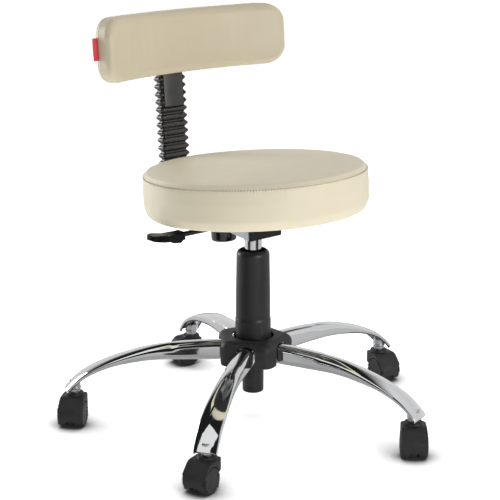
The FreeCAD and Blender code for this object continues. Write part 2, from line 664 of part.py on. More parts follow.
# ---- write every node ---------------------------------------------------------------------------
def build():
    os.makedirs("parts", exist_ok=True)
    first_arm = arm()
    first_socket = arm_socket(first_arm)
    first_stem = caster_stem()
    angles = [i * ARM_STEP for i in range(ARM_COUNT)]
    for i, angle in enumerate(angles):
        save("arm_%d" % (i + 1), about_z(first_arm, angle))
    save("arm_sockets", Part.makeCompound([about_z(first_socket, a) for a in angles]))
    save("caster_stems", Part.makeCompound([about_z(first_stem, a) for a in angles]))

    hood = caster_hood()
    axle = caster_axle()
    wheels = {"left": caster_wheel(1), "right": caster_wheel(-1)}
    for i in range(ARM_COUNT):
        name = "caster_%d_" % (i + 1)
        save(name + "hood", at_caster(hood, i))
        save(name + "axle", at_caster(axle, i))
        for side, wheel in wheels.items():
            save(name + "wheel_" + side, at_caster(wheel, i))

    for make in (hub_socket, hub_cover, column_tube, column_cover, guide_bush, thrust_bearing,
                 piston_rod, piston, column_clip, gas_cylinder, cylinder_seal, release_pin,
                 cone_socket, mechanism_body, mechanism_cap, bar_bracket, depth_knob,
                 lever_rod, lever_handle, seat_cover, seat_foam, seat_board, seat_tnuts, seat_bolts,
                 back_bar, bellows):
        save(make.__name__, make())
    for make in (backrest_tongue, backrest_bolts, backrest_cover, backrest_shell, backrest_foam,
                 backrest_carrier, height_knob):
        save(make.__name__, on_back(make()))


build()
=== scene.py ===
import bmesh
import bpy
import json
import math
from mathutils import Matrix, Vector, noise
from mathutils.bvhtree import BVHTree
from mathutils.kdtree import KDTree


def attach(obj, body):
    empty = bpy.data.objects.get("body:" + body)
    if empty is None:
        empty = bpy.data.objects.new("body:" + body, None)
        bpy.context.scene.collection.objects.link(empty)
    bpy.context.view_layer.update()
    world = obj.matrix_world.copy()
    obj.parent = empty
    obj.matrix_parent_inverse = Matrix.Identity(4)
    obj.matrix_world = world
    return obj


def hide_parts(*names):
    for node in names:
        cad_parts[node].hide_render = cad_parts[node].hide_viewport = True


# Dentist stool. Metres; +Z up; the origin is on the floor under the column's axis; the sitter faces -Y.
# Hard parts keep their CAD mesh and get a material. The arms, their sockets, the bellows and the two
# cushions are rebuilt here in the space that their CAD solids hold. The casters, hub cover, lever paddle,
# knobs, front cap, back panel and carrier are the CAD shapes with moulded, rounded edges.

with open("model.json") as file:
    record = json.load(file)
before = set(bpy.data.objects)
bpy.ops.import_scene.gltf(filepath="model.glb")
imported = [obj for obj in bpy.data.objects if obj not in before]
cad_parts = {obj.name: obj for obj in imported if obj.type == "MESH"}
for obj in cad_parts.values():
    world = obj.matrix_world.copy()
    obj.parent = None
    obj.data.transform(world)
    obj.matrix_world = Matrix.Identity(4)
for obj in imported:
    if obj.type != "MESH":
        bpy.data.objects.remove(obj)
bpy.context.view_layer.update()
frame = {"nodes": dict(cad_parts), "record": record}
NODES = frame["nodes"]
MM = 0.001

# Seat and back bar frames, with their tilt in degrees.
SEAT_TILT = -4.0
BACK_TILT = -4.4
SEAT = Matrix.Translation((0, 0, 0.351)) @ Matrix.Rotation(math.radians(SEAT_TILT), 4, "X")
BACK = Matrix.Translation((0, 0.203, 0.405)) @ Matrix.Rotation(math.radians(BACK_TILT), 4, "X")
ARM_COUNT = 5
STEM_CIRCLE = 290.0
# Level directions in which the main camera looks, and to its right.
FORWARD = (0.649, 0.760, 0.0)
RIGHTWARD = (0.760, -0.649, 0.0)


# ---- mesh helpers -------------------------------------------------------------------------------
def new_object(name, vertices, faces):
    mesh = bpy.data.meshes.new(name)
    mesh.from_pydata([tuple(v) for v in vertices], [], faces)
    mesh.validate()
    mesh.shade_smooth()
    piece = bpy.data.objects.new(name, mesh)
    bpy.context.scene.collection.objects.link(piece)
    return piece


def grid_faces(rows, columns, closed_rows=False, closed_columns=True):
    """Quads over a grid of rows x columns vertices."""
    faces = []
    for i in range(rows if closed_rows else rows - 1):
        below = i * columns
        above = ((i + 1) % rows) * columns
        for j in range(columns if closed_columns else columns - 1):
            k = (j + 1) % columns
            faces.append((below + j, below + k, above + k, above + j))
    return faces


def fillet_path(corners, steps=8, closed=False):
    """Polyline through (a, b, corner radius) points with its corners rounded."""
    points = []
    count = len(corners)
    for i, (a, b, radius) in enumerate(corners):
        here = Vector((a, b))
        if radius <= 0 or (not closed and i in (0, count - 1)):
            points.append(here)
            continue
        before = (Vector(corners[i - 1][:2]) - here).normalized()
        after = (Vector(corners[(i + 1) % count][:2]) - here).normalized()
        half = before.angle(after) / 2
        reach = radius / math.tan(half)
        centre = here + (before + after).normalized() * (radius / math.sin(half))
        start = here + before * reach - centre
        sweep = (here + after * reach - centre).angle_signed(start)
        for k in range(steps + 1):
            turn = Matrix.Rotation(sweep * k / steps, 2)
            points.append(centre + turn @ start)
    return points


def resample(points, spacing, closed=False):
    """Points an even distance apart along a polyline."""
    line = list(points) + ([points[0]] if closed else [])
    lengths = [0.0]
    for p, q in zip(line, line[1:]):
        lengths.append(lengths[-1] + (q - p).length)
    count = max(2, round(lengths[-1] / spacing))
    out = []
    i = 0
    for k in range(count if closed else count + 1):
        target = lengths[-1] * k / count
        while i < len(line) - 2 and lengths[i + 1] < target:
            i += 1
        step = max(lengths[i + 1] - lengths[i], 1e-9)
        out.append(line[i].lerp(line[i + 1], min(1.0, (target - lengths[i]) / step)))
    return out


def about_z(degrees):
    return Matrix.Rotation(math.radians(degrees), 4, "Z")


def evaluated_mesh(piece):
    graph = bpy.context.evaluated_depsgraph_get()
    return bpy.data.meshes.new_from_object(piece.evaluated_get(graph))


def remeshed(name, source_mesh, voxel, relax):
    """Copy of a closed mesh with even faces and its edges rounded by relaxing them."""
    piece = bpy.data.objects.new(name, source_mesh.copy())
    bpy.context.scene.collection.objects.link(piece)
    remesh = piece.modifiers.new("remesh", "REMESH")
    remesh.mode = "VOXEL"
    remesh.voxel_size = voxel
    if relax:
        smooth = piece.modifiers.new("relax", "SMOOTH")
        smooth.factor = 0.5
        smooth.iterations = relax
    mesh = evaluated_mesh(piece)
    piece.modifiers.clear()
    piece.data = mesh
    mesh.materials.clear()
    mesh.shade_smooth()
    return piece


def moulded(node, voxel, relax, body):
    """Stands for a CAD node: the same shape with moulded, rounded edges."""
    piece = remeshed(node + "_moulded", NODES[node].data, voxel, relax)
    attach(piece, body)
    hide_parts(node)
    return piece


# ---- materials ----------------------------------------------------------------------------------
class Nodes:
    """Short way to write a material's node graph."""

    def __init__(self, name):
        self.material = bpy.data.materials.new(name)
        self.material.use_nodes = True
        self.tree = self.material.node_tree
        self.shader = self.tree.nodes["Principled BSDF"]
        self.place = self.add("ShaderNodeTexCoord").outputs["Object"]

    def add(self, kind, **inputs):
        node = self.tree.nodes.new(kind)
        for key, value in inputs.items():
            if hasattr(node, key):
                setattr(node, key, value)
            else:
                self.feed(node.inputs[key.replace("_", " ")], value)
        return node

    def feed(self, socket, value):
        if isinstance(value, bpy.types.NodeSocket):
            self.tree.links.new(value, socket)
        else:
            socket.default_value = value

    def stretched(self, x, y, z):
        mapping = self.add("ShaderNodeMapping")
        self.feed(mapping.inputs["Vector"], self.place)
        mapping.inputs["Scale"].default_value = (x, y, z)
        return mapping.outputs["Vector"]

    def noise(self, scale, detail=3.0, rough=0.5, vector=None):
        node = self.add("ShaderNodeTexNoise", Scale=scale, Detail=detail, Roughness=rough)
        self.feed(node.inputs["Vector"], vector or self.place)
        return node.outputs["Fac"]

    def cells(self, scale, feature="DISTANCE_TO_EDGE"):
        node = self.add("ShaderNodeTexVoronoi")
        node.feature = feature
        node.inputs["Scale"].default_value = scale
        self.feed(node.inputs["Vector"], self.place)
        return node.outputs["Distance"]

    def remap(self, value, low, high, to_low=0.0, to_high=1.0):
        node = self.add("ShaderNodeMapRange")
        for i, number in enumerate((value, low, high, to_low, to_high)):
            self.feed(node.inputs[i], number)
        return node.outputs["Result"]

    def math(self, operation, a, b):
        node = self.add("ShaderNodeMath")
        node.operation = operation
        self.feed(node.inputs[0], a)
        self.feed(node.inputs[1], b)
        return node.outputs["Value"]

    def mix(self, factor, a, b):
        node = self.add("ShaderNodeMix")
        node.data_type = "RGBA"
        self.feed(node.inputs["Factor"], factor)
        self.feed(node.inputs["A"], a)
        self.feed(node.inputs["B"], b)
        return node.outputs["Result"]

    def bump(self, height, strength, distance, under=None):
        node = self.add("ShaderNodeBump", Strength=strength, Distance=distance)
        self.feed(node.inputs["Height"], height)
        if under:
            self.feed(node.inputs["Normal"], under)
        return node.outputs["Normal"]

    def done(self, color, roughness, normal=None, **constants):
        self.feed(self.shader.inputs["Base Color"], color)
        self.feed(self.shader.inputs["Roughness"], roughness)
        if normal:
            self.feed(self.shader.inputs["Normal"], normal)
        for key, value in constants.items():
            self.shader.inputs[key.replace("_", " ")].default_value = value
        return self.material


def shade(color, factor):
    return tuple(min(1.0, c * factor) for c in color[:3]) + (1.0,)


def vinyl(name, color):
    """Upholstery vinyl: fine embossed pebble grain with painted shade in its grooves, faint cloudiness and
    a soft gloss.
    """
    n = Nodes(name)
    pebbles = n.remap(n.cells(950.0), 0.0, 0.22)
    fine = n.noise(2600.0, 2.0)
    height = n.math("ADD", pebbles, n.math("MULTIPLY", fine, 0.35))
    normal = n.bump(height, 0.16, 0.00022)
    sag = n.bump(n.noise(26.0, 3.0, 0.45), 0.10, 0.004, normal)
    cloud = n.remap(n.noise(7.0, 4.0, 0.55), 0.3, 0.7)
    tone = n.mix(cloud, shade(color, 0.965), shade(color, 1.02))
    rubbed = n.remap(n.noise(60.0, 5.0, 0.6), 0.35, 0.75)
    worn = shade((color[0], color[1] * 0.985, color[2] * 0.95), 0.97)
    tone = n.mix(n.math("MULTIPLY", rubbed, 0.35), tone, worn)
    # painted shade: the grooves between the pebbles are drawn a little darker
    grain_valley_shade = n.remap(pebbles, 0.0, 0.5, 0.93, 1.0)
    tone = n.mix(grain_valley_shade, shade(color, 0.86), tone)
    rough = n.remap(n.noise(35.0, 4.0, 0.6), 0.3, 0.7, 0.40, 0.52)
    return n.done(tone, rough, sag, Specular_IOR_Level=0.45, Sheen_Weight=0.06, Sheen_Roughness=0.4)


def plastic(name, color, roughness, grain=1800.0, strength=0.10, spread=0.08, gloss=0.28):
    """Moulded plastic with a fine spark-eroded grain and slightly uneven gloss."""
    n = Nodes(name)
    texture = n.math("ADD", n.noise(grain, 4.0, 0.6), n.math("MULTIPLY", n.cells(grain * 0.5, "F1"), 0.5))
    normal = n.bump(texture, strength, 0.0002)
    wave = n.bump(n.noise(40.0, 2.0), 0.02, 0.002, normal)
    tone = n.mix(n.remap(n.noise(12.0, 4.0), 0.3, 0.7), shade(color, 0.85), shade(color, 1.15))
    rough = n.remap(n.noise(55.0, 5.0, 0.6), 0.3, 0.7, roughness - spread, roughness + spread)
    return n.done(tone, rough, wave, Specular_IOR_Level=gloss)


def chrome(name, tint=(0.76, 0.765, 0.775)):
    """Bright plating over polished steel: faint waviness, fine polishing haze."""
    n = Nodes(name)
    haze = n.remap(n.noise(90.0, 6.0, 0.65), 0.35, 0.75, 0.035, 0.085)
    wave = n.bump(n.noise(22.0, 2.0, 0.4), 0.03, 0.002)
    tone = n.mix(n.remap(n.noise(9.0, 3.0), 0.3, 0.7), shade(tint, 0.96), shade(tint, 1.02))
    return n.done(tone, haze, wave, Metallic=1.0)


def satin_metal(name, color, roughness, stretch=(60.0, 60.0, 900.0), strength=0.12):
    """Plated or turned steel with fine working lines."""
    n = Nodes(name)
    lines = n.noise(1.0, 4.0, 0.6, n.stretched(*stretch))
    spangle = n.cells(240.0, "F1")
    tone = n.mix(n.remap(lines, 0.3, 0.7), shade(color, 0.82), shade(color, 1.12))
    tone = n.mix(n.math("MULTIPLY", spangle, 0.25), tone, shade(color, 1.2))
    rough = n.remap(lines, 0.3, 0.7, roughness - 0.06, roughness + 0.08)
    return n.done(tone, rough, n.bump(lines, strength, 0.0002), Metallic=1.0)


def painted(name, color, roughness):
    """Powder coat: orange-peel surface over steel."""
    n = Nodes(name)
    peel = n.noise(700.0, 2.0, 0.5)
    tone = n.mix(n.remap(n.noise(15.0, 4.0), 0.3, 0.7), shade(color, 0.85), shade(color, 1.2))
    rough = n.remap(n.noise(80.0, 4.0), 0.3, 0.7, roughness - 0.06, roughness + 0.06)
    return n.done(tone, rough, n.bump(peel, 0.18, 0.0003), Coat_Weight=0.15)


def rubber(name, color):
    """Moulded rubber: satin skin, chalky bloom in places."""
    n = Nodes(name)
    pores = n.noise(1500.0, 4.0, 0.65)
    bloom = n.remap(n.noise(30.0, 3.0, 0.5), 0.4, 0.8)
    tone = n.mix(n.math("MULTIPLY", bloom, 0.30), shade(color, 1.0), shade((color[0] + 0.012,) * 3, 1.0))
    rough = n.remap(n.noise(70.0, 5.0, 0.6), 0.3, 0.7, 0.20, 0.30)
    return n.done(tone, rough, n.bump(pores, 0.06, 0.0002), Specular_IOR_Level=0.95)


def foam(name, color):
    """Open-celled foam, with painted shade in its sunken cell edges."""
    n = Nodes(name)
    pores = n.remap(n.cells(520.0), 0.0, 0.3)
    # painted shade: the cell edges that the bump sinks are drawn darker
    tone = n.mix(pores, shade(color, 0.6), shade(color, 1.0))
    return n.done(tone, n.remap(n.noise(60.0), 0.3, 0.7, 0.85, 0.98), n.bump(pores, 0.5, 0.0008))


def wood(name, color):
    """Stained plywood with its grain along X."""
    n = Nodes(name)
    grain = n.noise(1.0, 6.0, 0.6, n.stretched(14.0, 220.0, 700.0))
    tone = n.mix(n.remap(grain, 0.35, 0.65), shade(color, 0.7), shade(color, 1.1))
    return n.done(tone, n.remap(grain, 0.3, 0.7, 0.55, 0.75), n.bump(grain, 0.2, 0.0004))


def tag_cloth(name, color):
    """Woven label ribbon: warp and weft as two sets of fine ribs."""
    n = Nodes(name)
    across = n.noise(1.0, 1.0, 0.5, n.stretched(200.0, 200.0, 4200.0))
    along = n.noise(1.0, 1.0, 0.5, n.stretched(3800.0, 3800.0, 200.0))
    weave = n.math("ADD", across, along)
    tone = n.mix(n.remap(weave, 0.7, 1.3), shade(color, 0.75), shade(color, 1.15))
    return n.done(tone, n.remap(weave, 0.7, 1.3, 0.55, 0.75), n.bump(weave, 0.4, 0.0002), Sheen_Weight=0.2)


SEAT_CREAM = (0.72, 0.655, 0.495)
PAD_CREAM = (0.605, 0.535, 0.385)
THREAD = (0.40, 0.345, 0.24)
MATERIALS = {
    "arm_chrome": chrome("arm_chrome"),
    "rod_chrome": chrome("rod_chrome", (0.82, 0.825, 0.835)),
    "zinc": satin_metal("zinc", (0.56, 0.57, 0.59), 0.30),
    "bare_steel": satin_metal("bare_steel", (0.50, 0.51, 0.52), 0.34),
    "hub_plastic": plastic("hub_plastic", (0.030, 0.030, 0.031), 0.50, 1500.0, 0.16),
    "black_steel": painted("black_steel", (0.010, 0.010, 0.0105), 0.36),
    "cover_plastic": plastic("cover_plastic", (0.014, 0.014, 0.0145), 0.40, 1600.0, 0.02, 0.04, gloss=0.45),
    "guide_plastic": plastic("guide_plastic", (0.10, 0.10, 0.10), 0.45),
    "cap_plastic": plastic("cap_plastic", (0.006, 0.006, 0.0065), 0.20, 2400.0, 0.04, 0.05, 0.45),
    "knob_plastic": plastic("knob_plastic", (0.006, 0.006, 0.0065), 0.11, 2400.0, 0.02, 0.03, 0.9),
    "lever_plastic": plastic("lever_plastic", (0.005, 0.005, 0.0053), 0.26, 1900.0, 0.06, gloss=0.12),
    "seat_vinyl": vinyl("seat_vinyl", SEAT_CREAM),
    "pad_vinyl": vinyl("pad_vinyl", PAD_CREAM),
    "foam": foam("foam", (0.80, 0.76, 0.60)),
    "plywood": wood("plywood", (0.022, 0.022, 0.023)),
    "bellows_rubber": rubber("bellows_rubber", (0.008, 0.008, 0.0085)),
    "carrier_plastic": plastic("carrier_plastic", (0.036, 0.036, 0.037), 0.36, gloss=0.6),
    "hood_plastic": plastic("hood_plastic", (0.030, 0.030, 0.0315), 0.44, 1500.0, 0.14, gloss=0.2),
    "wheel_nylon": plastic("wheel_nylon", (0.027, 0.027, 0.0285), 0.42, 1700.0, 0.10, gloss=0.2),
}
THREAD_CLOTH = tag_cloth("thread", THREAD)
TAG_CLOTH = tag_cloth("tag_cloth", (0.72, 0.045, 0.065))


def finish_piece(piece, body, slot, *nodes, material=None):
    """Gives a new piece its material (its slot's, unless another is given), puts it under its CAD body and
    hides the nodes it stands for.
    """
    piece.data.materials.clear()
    piece.data.materials.append(material or MATERIALS[slot])
    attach(piece, body)
    if nodes:
        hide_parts(*nodes)
    return piece


# ---- cushions -----------------------------------------------------------------------------------
def puffed(form, voxel, pressure, cap, pinned):
    """Cloth-simulates a copy of a closed form under pressure, as foam fills a cover.

    Returns a function that gives, near a point, how far the cover moved there, at most cap.
    """
    ball = remeshed("simulated", form.data, voxel, 2)
    held = ball.vertex_groups.new(name="held")
    held.add([v.index for v in ball.data.vertices if pinned(v.co)], 1.0, "REPLACE")
    rest = [v.co.copy() for v in ball.data.vertices]
    cloth = ball.modifiers.new("cloth", "CLOTH")
    settings = cloth.settings
    settings.quality = 5
    settings.mass = 0.3
    settings.tension_stiffness = 12.0
    settings.compression_stiffness = 12.0
    settings.bending_stiffness = 0.6
    settings.use_pressure = True
    settings.uniform_pressure_force = pressure
    settings.vertex_group_mass = "held"
    settings.effector_weights.gravity = 0.0
    cloth.collision_settings.use_collision = False
    cloth.point_cache.frame_start = 1
    cloth.point_cache.frame_end = 20
    scene = bpy.context.scene
    for number in range(1, 21):
        scene.frame_set(number)
    mesh = evaluated_mesh(ball)
    moves = []
    tree = KDTree(len(rest))
    for i, (before, vertex) in enumerate(zip(rest, mesh.vertices)):
        move = vertex.co - before
        if move.length > cap:
            move *= cap / move.length
        moves.append(move)
        tree.insert(before, i)
    tree.balance()
    bpy.data.objects.remove(ball)
    bpy.data.meshes.remove(mesh)
    scene.frame_set(1)

    def moved(point):
        total = Vector((0, 0, 0))
        weight = 0.0
        for _, index, distance in tree.find_n(point, 8):
            share = 1.0 / (distance + voxel * 0.5)
            total += moves[index] * share
            weight += share
        return total / weight

    return moved


def capsule(start, end, radius, sides=6):
    """Vertices and faces of one raised stitch."""
    axis = (end - start).normalized()
    side = axis.orthogonal().normalized()
    other = axis.cross(side)
    rows = ((0.0, 0.35), (0.18, 0.9), (0.5, 1.0), (0.82, 0.9), (1.0, 0.35))
    vertices = []
    for share, size in rows:
        centre = start.lerp(end, share)
        for k in range(sides):
            turn = 2 * math.pi * k / sides
            vertices.append(centre + (side * math.cos(turn) + other * math.sin(turn)) * radius * size)
    faces = grid_faces(len(rows), sides)
    faces.append(tuple(reversed(range(sides))))
    faces.append(tuple(range(len(vertices) - sides, len(vertices))))
    return vertices, faces


def stitches(name, path, pitch, length, radius, lift, slant=0.0):
    """Row of stitches along a closed or open list of (point, outward) pairs."""
    points = [p for p, _ in path]
    total = sum((b - a).length for a, b in zip(points, points[1:]))
    count = int(total / pitch)
    vertices, faces = [], []
    walked, index = 0.0, 0
    for k in range(count):
        target = (k + 0.5) * total / count
        while walked + (points[index + 1] - points[index]).length < target:
            walked += (points[index + 1] - points[index]).length
            index += 1
        along = (points[index + 1] - points[index]).normalized()
        out = path[index][1]
        across = along.cross(out).normalized()
        middle = points[index] + along * (target - walked) + out * lift
        reach = (along + across * slant).normalized() * length / 2
        v, f = capsule(middle - reach - out * radius * 0.6, middle + reach - out * radius * 0.1, radius)
        faces += [tuple(i + len(vertices) for i in face) for face in f]
        vertices += v
    return new_object(name, vertices, faces)


STITCH_PITCH = 4.5
# How far the finished cushions start inside their outline, and their coarse forms for the simulation.
INSET = 0.4
FORM_INSET = 0.8
# The farthest that the simulation may move a cover, in metres.
LARGEST_PUFF = 0.0022

# Seat, in seat millimetres: (radius, height) from the wrapped edge under the board to the crown.
SEAT_CENTRE_Y = -9.0
SEAT_RADIUS = 177.0
SEAT_STITCHES = 246
SEAM_Z = 65.5
SEAT_OUTLINE = (
    (0.0, 1.0, 0), (148.0, 1.0, 0), (148.0, -1.5, 0.8), (171.5, -1.5, 9.0), (177.6, 13.0, 13.0),
    (178.3, 40.0, 40.0), (176.8, 64.0, 4.0), (171.0, 69.6, 6.0), (158.0, 71.2, 16.0),
    (120.0, 72.2, 60.0), (0.0, 72.6, 0))


def seat_rings(inset, spacing):
    outline = fillet_path(SEAT_OUTLINE)
    rings = resample(outline, spacing)[1:-1]
    middle = Vector((100.0, 36.0))
    out = []
    for p in rings:
        if p.x > middle.x:
            out.append(p - (p - middle).normalized() * inset)
        else:
            out.append(Vector((p.x, p.y - inset * (1 if p.y > middle.y else -1))))
    return out


def seat_surface(name, spacing, segments, inset):
    rings = seat_rings(inset, spacing)
    vertices = []
    for ring in rings:
        for j in range(segments):
            angle = 2 * math.pi * j / segments
            x = ring.x * math.cos(angle)
            y = ring.x * math.sin(angle) + SEAT_CENTRE_Y
            vertices.append(Vector((x, y, ring.y)) * MM)
    faces = grid_faces(len(rings), segments)
    faces.append(tuple(reversed(range(segments))))
    faces.append(tuple(range(len(vertices) - segments, len(vertices))))
    return new_object(name, vertices, faces)


def surface_of(piece):
    """Search tree over a piece's surface."""
    mesh = piece.data
    return BVHTree.FromPolygons([v.co for v in mesh.vertices], [tuple(f.vertices) for f in mesh.polygons])


def seat_held(co):
    """True where the seat cover is stapled under the board or sewn along its top seam."""
    return co.z < 0.006 or abs(co.z - SEAM_Z * MM) < 0.004


def seat_cushion():
    form = seat_surface("seat_form", 6.0, 120, FORM_INSET)
    moved = puffed(form, 0.006, 0.12, LARGEST_PUFF, seat_held)
    bpy.data.objects.remove(form)
    inset = INSET
    piece = seat_surface("seat_cushion", 1.9, 1080, inset)
    stitch_pitch = 2 * math.pi * SEAT_RADIUS / SEAT_STITCHES
    for vertex in piece.data.vertices:
        co = vertex.co
        co += moved(co)
        flat = Vector((co.x, co.y - SEAT_CENTRE_Y * MM, 0))
        radius = flat.length / MM
        if radius < 60.0:
            continue
        out = flat.normalized()
        level = co.z / MM
        # the seam pulls in between the top panel and the side band
        gap = math.hypot(level - SEAM_Z, max(0.0, 172.0 - radius) * 1.4)
        pull = 1.0 * math.exp(-(gap / 1.7) ** 2) + 0.55 * math.exp(-(gap / 5.0) ** 2)
        angle = math.atan2(out.y, out.x)
        # stitches gather the band in small puckers that fade below the seam
        below = SEAM_Z - level
        gather = 0.0
        if 0.0 < below < 16.0 and radius > 165.0:
            fade = math.sin(min(1.0, below / 3.0) * math.pi / 2) * math.exp(-((below - 3.0) / 5.0) ** 2)
            uneven = 0.75 + 0.5 * noise.noise(Vector((math.cos(angle), math.sin(angle), 0.3)) * 9)
            gather = 0.60 * fade * uneven * math.cos(angle * SEAT_RADIUS * 2 * math.pi / stitch_pitch)
        ripple = noise.noise(co * 22.0) * 0.5 + noise.noise(co * 55.0) * 0.2
        co -= out * (pull + gather - ripple * 0.6) * MM
        co.z += ripple * 0.35 * MM
    piece.data.transform(SEAT)
    piece.data.update()
    finish_piece(piece, "seat", "seat_vinyl", "seat_cover", "seat_foam")

    row = []
    surface = surface_of(piece)
    turn = Matrix.Rotation(math.radians(SEAT_TILT), 3, "X")
    steps = 720
    for k in range(steps + 1):
        angle = 2 * math.pi * k / steps
        out = Vector((math.cos(angle), math.sin(angle), 0))
        point = Vector((178.0 * out.x, 178.0 * out.y + SEAT_CENTRE_Y, SEAM_Z - 3.0)) * MM
        row.append((surface.find_nearest(SEAT @ point)[0], turn @ out))
    thread = stitches("seat_stitches", row, STITCH_PITCH * MM, 3.0 * MM, 0.75 * MM, 0.40 * MM, 0.35)
    finish_piece(thread, "seat", "seat_vinyl", material=THREAD_CLOTH)


# Back pad, in bar millimetres.
PAD_MIDDLE_Z = 190.5
PAD_HALF_HEIGHT = 51.0
PAD_HALF_CHORD = 182.0
PAD_REACH = PAD_HALF_CHORD - PAD_HALF_HEIGHT
PAD_CORNER = 30.0
PAD_REAR = -11.0
PAD_THICKNESS = 38.0
PAD_CURVE_R = 380.0
SEAM_DEPTH = 33.0


def pad_outline(spacing):
    """Outline round the pad, seen from the front, the same above and below its middle line."""
    half, tall, corner = PAD_HALF_CHORD, PAD_HALF_HEIGHT, PAD_CORNER
    upper = fillet_path(((half, 0.0, 0), (half, tall, corner), (-half, tall, corner), (-half, 0.0, 0)), 12)
    upper = resample(upper, spacing)
    lower = [Vector((p.x, -p.y)) for p in reversed(upper[1:-1])]
    return upper + lower


def pad_point(x, z, depth):
    """Point of the curved pad: x across, z up from its middle, depth behind the front face."""
    radius = PAD_CURVE_R - PAD_THICKNESS / 2 + depth
    centre_y = PAD_REAR - PAD_THICKNESS / 2 - PAD_CURVE_R
    return Vector((x, centre_y + math.sqrt(radius * radius - x * x), z + PAD_MIDDLE_Z)) * MM


def pad_anchor(x):
    """Nearest point of the pad's middle line, which stops short of its ends by the half height."""
    return Vector((max(-PAD_REACH, min(PAD_REACH, x)), 0.0))


def pad_surface(name, spacing, inset):
    """Closed pad: soft front edge, boxing that swells a little, rear edge with its seam, rear face."""
    outline = pad_outline(spacing)
    middle = PAD_HALF_HEIGHT
    front = fillet_path(((middle, 0.0, 0), (0.0, 0.0, 15.0), (0.0, 26.0, 0)), 12)
    rear = fillet_path(((0.0, 26.0, 0), (0.0, PAD_THICKNESS, 6.0), (middle, PAD_THICKNESS, 0)), 8)
    edge = resample(front + rear[1:], spacing)
    vertices = []
    for inside, depth in edge:
        share = 1.0 - (inside + inset * (1.0 - inside / middle)) / middle
        for q in outline:
            anchor = pad_anchor(q.x)
            p = anchor + (q - anchor) * max(0.0, share)
            vertices.append(pad_point(p.x, p.y, min(max(depth, inset), PAD_THICKNESS - inset)))
    piece = new_object(name, vertices, grid_faces(len(edge), len(outline)))
    shell = bmesh.new()
    shell.from_mesh(piece.data)
    bmesh.ops.remove_doubles(shell, verts=shell.verts, dist=1e-6)
    bmesh.ops.recalc_face_normals(shell, faces=shell.faces)
    shell.to_mesh(piece.data)
    shell.free()
    piece.data.shade_smooth()
    return piece


def pad_depth(co):
    """How far behind the front face a point of the pad lies, in millimetres."""
    centre_y = PAD_REAR - PAD_THICKNESS / 2 - PAD_CURVE_R
    return math.hypot(co.x / MM, co.y / MM - centre_y) - PAD_CURVE_R + PAD_THICKNESS / 2


def pad_held(co):
    """True behind the soft front edge, where the cover is stretched over the shell."""
    return pad_depth(co) > 14.0


def back_pad():
    form = pad_surface("pad_form", 5.0, FORM_INSET)
    moved = puffed(form, 0.005, 0.4, LARGEST_PUFF, pad_held)
    bpy.data.objects.remove(form)
    inset = INSET
    piece = pad_surface("back_pad", 1.6, inset)
    for vertex in piece.data.vertices:
        co = vertex.co
        co += moved(co)
        depth = pad_depth(co)
        level = co.z / MM - PAD_MIDDLE_Z
        side = Vector((co.x / MM, level)) - pad_anchor(co.x / MM)
        near_edge = side.length > PAD_HALF_HEIGHT - 9.0
        ripple = noise.noise(co * 20.0) * 0.6 + noise.noise(co * 60.0) * 0.15
        if near_edge and side.length > 1.0:
            out = side.normalized()
            # the rear seam pulls the cover in, and the boxing gathers a little beside it
            pull = 1.3 * math.exp(-((depth - SEAM_DEPTH) / 1.3) ** 2)
            along = math.atan2(level, co.x / MM * 0.3) * 40.0
            gather = 0.25 * math.exp(-((depth - SEAM_DEPTH + 4.0) / 3.5) ** 2) * math.sin(along * 3.0)
            shift = out * (-pull + gather + ripple * 0.5)
            co.x += shift.x * MM
            co.z += shift.y * MM
        co.y += ripple * 0.35 * MM
    piece.data.transform(BACK)
    finish_piece(piece, "backrest", "pad_vinyl", "backrest_cover", "backrest_foam", "backrest_shell")

    row = []
    surface = surface_of(piece)
    turn = Matrix.Rotation(math.radians(BACK_TILT), 3, "X")
    loop = pad_outline(2.0)
    loop.append(loop[0])
    for q in loop:
        out = (q - pad_anchor(q.x)).normalized()
        p = q + out
        spot = surface.find_nearest(BACK @ pad_point(p.x, p.y, SEAM_DEPTH - 3.2))[0]
        row.append((spot, turn @ Vector((out.x, 0, out.y))))
    thread = stitches("pad_stitches", row, STITCH_PITCH * MM, 3.0 * MM, 0.45 * MM, 0.1 * MM)
    finish_piece(thread, "backrest", "pad_vinyl", material=THREAD_CLOTH)


def tag():
    """Plain red ribbon folded in two and sewn into the rear seam at the pad's end."""
    path = fillet_path(((8.0, 0.9, 0), (-3.0, 0.95, 0.9), (-3.0, -0.95, 0.9), (8.0, -0.9, 0)), 6)
    path = resample(path, 0.5)
    rows = 24
    bottom, length = -13.5, 35.0
    anchor = pad_point(-PAD_HALF_CHORD, 0, SEAM_DEPTH - 1.0)
    vertices = []
    for i in range(rows + 1):
        level = bottom + length * i / rows
        for p in path:
            wave = 0.35 * math.sin(level * 0.16 + 0.6) * (5.0 - p.x) / 8.0
            vertices.append(anchor + Vector((p.x - 5.5, p.y + wave, level)) * MM)
    piece = new_object("tag", vertices, grid_faces(rows + 1, len(path), closed_columns=False))
    thick = piece.modifiers.new("ribbon", "SOLIDIFY")
    thick.thickness = 0.35 * MM
    piece.data.transform(BACK)
    finish_piece(piece, "backrest", "pad_vinyl", material=TAG_CLOTH)


# ---- arms ---------------------------------------------------------------------------------------
# (distance from the column, height, downward tilt in degrees, width, depth) at stations along an arm.
ARM_STATIONS = (
    (24.0, 118.0, 0.0, 28.0, 32.0), (60.0, 118.0, 0.0, 28.0, 31.5), (100.0, 118.0, 1.0, 29.0, 29.5),
    (147.0, 116.8, 6.0, 30.5, 25.0), (185.0, 112.0, 11.0, 33.0, 19.5), (226.0, 103.0, 19.0, 36.0, 13.0),
    (257.0, 91.5, 28.0, 38.0, 10.0), (277.0, 80.5, 38.0, 38.0, 9.5), (293.0, 67.0, 47.0, 37.5, 9.0),
    (302.0, 57.0, 52.0, 37.0, 8.8))


